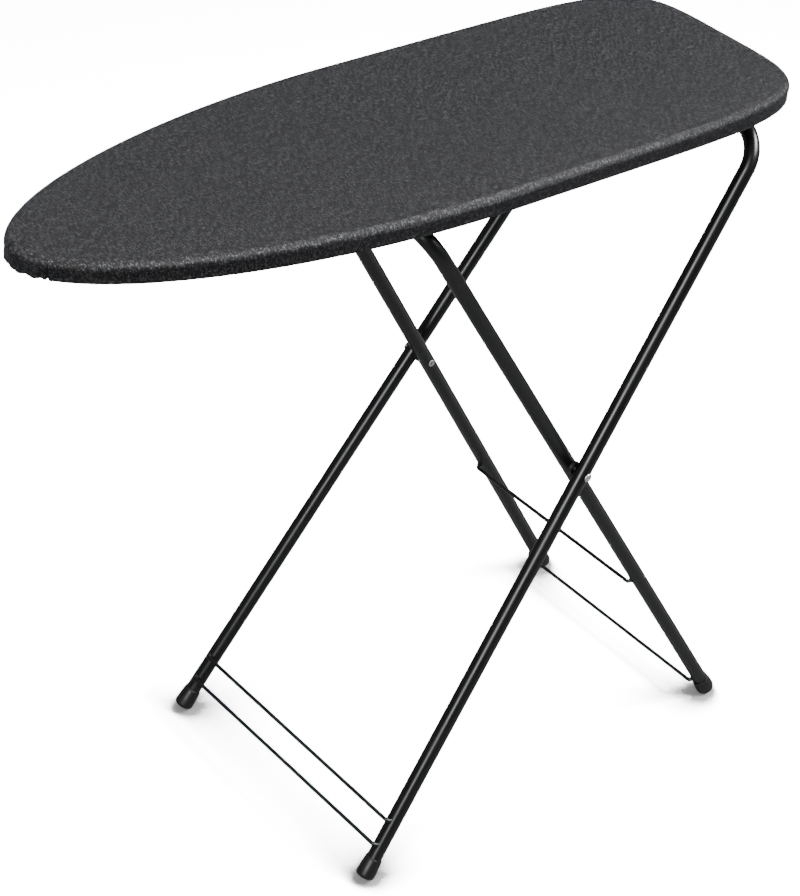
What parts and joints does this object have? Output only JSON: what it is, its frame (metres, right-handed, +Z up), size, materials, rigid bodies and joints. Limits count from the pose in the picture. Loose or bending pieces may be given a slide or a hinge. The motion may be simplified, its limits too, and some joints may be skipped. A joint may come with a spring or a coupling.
{
  "type": "ironing board",
  "caption": "Folding ironing board: padded fabric-covered top with a rounded nose on two crossing U-shaped tube frames that fold flat under it.",
  "frame": {"origin": "on the floor, under the middle of the object's overall box, board standing at its working height", "axes": "+X from the nose of the board to its tail, +Z up, +Y to the left of someone who stands at the nose and faces the tail"},
  "size_m": [1.0021, 0.3988, 0.9],
  "materials": {
    "cover_fabric": "charcoal metallised-look woven cotton, fine pale flecks, matt",
    "pad_felt": "needled felt",
    "painted_steel": "black paint, satin",
    "black_enamel": "black powder coat, semi-gloss",
    "black_plastic": "moulded black plastic, satin",
    "zinc_plate": "bright zinc plate",
    "elastic_cord": "braided black elastic"
  },
  "bodies": {
    "board": {"cover": "cover_fabric", "felt_pad": "pad_felt", "steel_top": "painted_steel", "rim_band": "painted_steel", "hem_elastic": "elastic_cord", "cross_rail_nose": "painted_steel", "cross_rail_middle": "painted_steel", "cross_rail_tail": "painted_steel", "guide_rail_left": "zinc_plate", "guide_rail_right": "zinc_plate", "pivot_bracket_left": "zinc_plate", "pivot_bracket_right": "zinc_plate", "pivot_bush_left": "black_plastic", "pivot_bush_right": "black_plastic", "rail_rivet_nose_left": "zinc_plate", "rail_rivet_nose_right": "zinc_plate", "rail_rivet_middle_left": "zinc_plate", "rail_rivet_middle_right": "zinc_plate", "bracket_rivet_left": "zinc_plate", "bracket_rivet_right": "zinc_plate"},
    "outer_frame": {"outer_frame_tube": "black_enamel", "outer_frame_foot_left": "black_plastic", "outer_frame_foot_right": "black_plastic", "outer_frame_brace_upper": "black_enamel", "outer_frame_brace_lower": "black_enamel", "pivot_rivet_left": "zinc_plate", "pivot_rivet_right": "zinc_plate", "pivot_spacer_left": "black_plastic", "pivot_spacer_right": "black_plastic"},
    "inner_frame": {"inner_frame_tube": "black_enamel", "inner_frame_foot_left": "black_plastic", "inner_frame_foot_right": "black_plastic", "inner_frame_brace_upper": "black_enamel", "inner_frame_brace_lower": "black_enamel", "slot_glide_left": "black_plastic", "slot_glide_right": "black_plastic"}
  },
  "joints": [
    {"name": "outer_hinge", "type": "hinge", "parent": "board", "child": "outer_frame", "pos_m": [0.4332, 0, 0.837], "axis": [0, 1, 0], "range_deg": [0, 52]},
    {"name": "scissor_pivot", "type": "hinge", "parent": "outer_frame", "child": "inner_frame", "pos_m": [0.18905, 0, 0.46616], "axis": [0, 1, 0], "range_deg": [-104, 0]}
  ],
  "couplings": [
    {"joint": "scissor_pivot", "follows": "outer_hinge", "ratio": -2}
  ]
}
